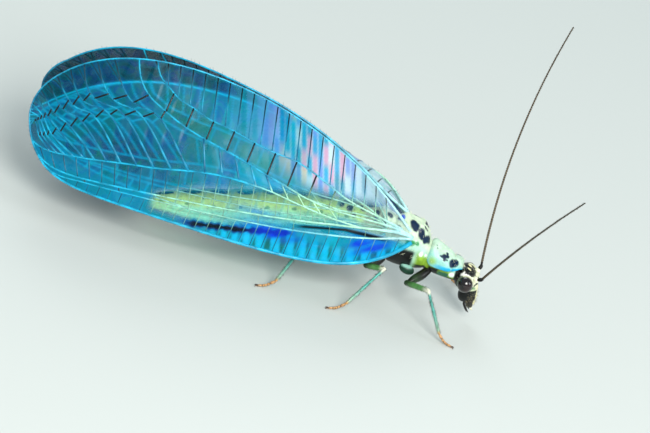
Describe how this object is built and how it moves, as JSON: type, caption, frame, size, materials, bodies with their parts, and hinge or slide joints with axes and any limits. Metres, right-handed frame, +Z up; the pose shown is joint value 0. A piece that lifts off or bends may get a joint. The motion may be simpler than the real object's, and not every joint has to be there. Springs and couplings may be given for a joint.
{
  "type": "green lacewing model",
  "caption": "Life-size still model of a green lacewing standing with veined see-through wings folded like a roof, long feelers and thin legs.",
  "frame": {"origin": "middle of the underside of the whole model's box, on the surface that the feet stand on", "axes": "+X the way the head points, +Y the animal's left side, +Z up"},
  "size_m": [0.0186, 0.0094, 0.0099],
  "materials": {
    "head": "pale cream cuticle with glossy black marks",
    "eye": "glossy dark maroon dome",
    "antenna": "brown, finely ringed",
    "thorax": "pale green and cream cuticle with black spots",
    "abdomen": "soft yellow-green skin with dark spots",
    "leg": "teal-green with orange-tan feet and short dark hairs",
    "wing": "clear iridescent film with raised green and black veins"
  },
  "bodies": {
    "root": {"head": "head", "eye_left": "eye", "eye_right": "eye", "antenna_left": "antenna", "antenna_right": "antenna", "prothorax": "thorax", "mesothorax": "thorax", "metathorax": "thorax", "abdomen": "abdomen", "leg_fore_left": "leg", "leg_fore_right": "leg", "leg_mid_left": "leg", "leg_mid_right": "leg", "leg_hind_left": "leg", "leg_hind_right": "leg", "forewing_left": "wing", "forewing_right": "wing", "hindwing_left": "wing", "hindwing_right": "wing"}
  },
  "joints": []
}
